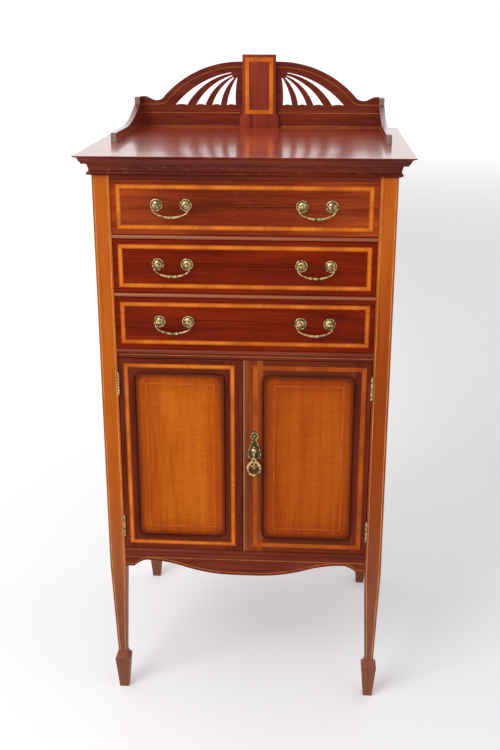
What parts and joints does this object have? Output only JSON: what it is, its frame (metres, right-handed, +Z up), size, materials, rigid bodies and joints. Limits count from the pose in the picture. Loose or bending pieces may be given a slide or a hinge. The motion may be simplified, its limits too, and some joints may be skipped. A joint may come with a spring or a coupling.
{
  "type": "music cabinet",
  "caption": "Inlaid music cabinet with shallow drawers over panelled doors, tapered legs with spade feet and a pierced gallery.",
  "frame": {"origin": "on the floor, under the middle of the whole outline in X and Y", "axes": "+Z up, +X to the right seen from the front, +Y to the back"},
  "size_m": [0.573, 0.4964, 1.2095],
  "materials": {
    "mahogany": "french polished",
    "golden_mahogany": "french polished",
    "satinwood_banding": "french polished",
    "boxwood_stringing": "french polished",
    "secondary_wood": "bare or lightly stained",
    "brass": "aged, lightly polished"
  },
  "bodies": {
    "carcass": {"front_leg_left": "golden_mahogany", "front_leg_right": "golden_mahogany", "rear_leg_left": "golden_mahogany", "rear_leg_right": "golden_mahogany", "side_panel_left": "mahogany", "side_panel_right": "mahogany", "back_panel": "secondary_wood", "top_board": "mahogany", "cornice_moulding": "mahogany", "top_rail": "mahogany", "drawer_rail_upper": "mahogany", "drawer_rail_middle": "mahogany", "cupboard_rail": "mahogany", "apron": "mahogany", "cupboard_floor": "mahogany", "drawer_runners": "secondary_wood", "cupboard_shelf": "mahogany", "shelf_battens": "secondary_wood", "gallery_board": "mahogany", "gallery_tablet": "mahogany", "gallery_bracket_left": "mahogany", "gallery_bracket_right": "mahogany", "gallery_inlay": "boxwood_stringing", "carcass_stringing": "boxwood_stringing", "hinge_fixed_leaves": "brass"},
    "drawer_1": {"drawer_1_front": "mahogany", "drawer_1_box": "secondary_wood", "drawer_1_bottom": "secondary_wood", "drawer_1_banding": "satinwood_banding", "drawer_1_handle_mounts": "brass"},
    "drawer_1_bail_left": {"drawer_1_bail_left": "brass"},
    "drawer_1_bail_right": {"drawer_1_bail_right": "brass"},
    "drawer_2": {"drawer_2_front": "mahogany", "drawer_2_box": "secondary_wood", "drawer_2_bottom": "secondary_wood", "drawer_2_banding": "satinwood_banding", "drawer_2_handle_mounts": "brass"},
    "drawer_2_bail_left": {"drawer_2_bail_left": "brass"},
    "drawer_2_bail_right": {"drawer_2_bail_right": "brass"},
    "drawer_3": {"drawer_3_front": "mahogany", "drawer_3_box": "secondary_wood", "drawer_3_bottom": "secondary_wood", "drawer_3_banding": "satinwood_banding", "drawer_3_handle_mounts": "brass"},
    "drawer_3_bail_left": {"drawer_3_bail_left": "brass"},
    "drawer_3_bail_right": {"drawer_3_bail_right": "brass"},
    "door_left": {"door_left_frame": "mahogany", "door_left_panel": "golden_mahogany", "door_left_inlay": "satinwood_banding", "door_left_hinge_leaves": "brass", "bolt_case": "brass"},
    "door_right": {"door_right_frame": "mahogany", "door_right_panel": "golden_mahogany", "door_right_inlay": "satinwood_banding", "door_right_hinge_leaves": "brass", "meeting_bead": "mahogany", "pull_plate": "brass"},
    "turning_catch": {"turning_catch": "brass"},
    "drop_ring": {"drop_ring": "brass"},
    "bolt_rod": {"bolt_rod": "brass"}
  },
  "joints": [
    {"name": "drawer_1_slide", "type": "slide", "parent": "carcass", "child": "drawer_1", "axis": [0, -1, 0], "range_m": [0, 0.28]},
    {"name": "drawer_1_bail_left_swing", "type": "hinge", "parent": "drawer_1", "child": "drawer_1_bail_left", "pos_m": [-0.125, -0.22825, 0.97905], "axis": [-1, 0, 0], "range_deg": [0, 95]},
    {"name": "drawer_1_bail_right_swing", "type": "hinge", "parent": "drawer_1", "child": "drawer_1_bail_right", "pos_m": [0.125, -0.22825, 0.97905], "axis": [-1, 0, 0], "range_deg": [0, 95]},
    {"name": "drawer_2_slide", "type": "slide", "parent": "carcass", "child": "drawer_2", "axis": [0, -1, 0], "range_m": [0, 0.28]},
    {"name": "drawer_2_bail_left_swing", "type": "hinge", "parent": "drawer_2", "child": "drawer_2_bail_left", "pos_m": [-0.125, -0.22825, 0.87555], "axis": [-1, 0, 0], "range_deg": [0, 95]},
    {"name": "drawer_2_bail_right_swing", "type": "hinge", "parent": "drawer_2", "child": "drawer_2_bail_right", "pos_m": [0.125, -0.22825, 0.87555], "axis": [-1, 0, 0], "range_deg": [0, 95]},
    {"name": "drawer_3_slide", "type": "slide", "parent": "carcass", "child": "drawer_3", "axis": [0, -1, 0], "range_m": [0, 0.28]},
    {"name": "drawer_3_bail_left_swing", "type": "hinge", "parent": "drawer_3", "child": "drawer_3_bail_left", "pos_m": [-0.125, -0.22825, 0.77205], "axis": [-1, 0, 0], "range_deg": [0, 95]},
    {"name": "drawer_3_bail_right_swing", "type": "hinge", "parent": "drawer_3", "child": "drawer_3_bail_right", "pos_m": [0.125, -0.22825, 0.77205], "axis": [-1, 0, 0], "range_deg": [0, 95]},
    {"name": "door_left_swing", "type": "hinge", "parent": "carcass", "child": "door_left", "pos_m": [-0.2289, -0.22235, 0.3196], "axis": [0, 0, -1], "range_deg": [0, 105]},
    {"name": "door_right_swing", "type": "hinge", "parent": "carcass", "child": "door_right", "pos_m": [0.2289, -0.22235, 0.3196], "axis": [0, 0, 1], "range_deg": [0, 105]},
    {"name": "catch_turn", "type": "hinge", "parent": "door_right", "child": "turning_catch", "pos_m": [0.01825, -0.21975, 0.531], "axis": [0, -1, 0], "range_deg": [0, 90]},
    {"name": "drop_ring_swing", "type": "hinge", "parent": "turning_catch", "child": "drop_ring", "pos_m": [0.01825, -0.22875, 0.5145], "axis": [-1, 0, 0], "range_deg": [0, 85]},
    {"name": "bolt_slide", "type": "slide", "parent": "door_left", "child": "bolt_rod", "axis": [0, 0, 1], "range_m": [0, 0.009]}
  ]
}
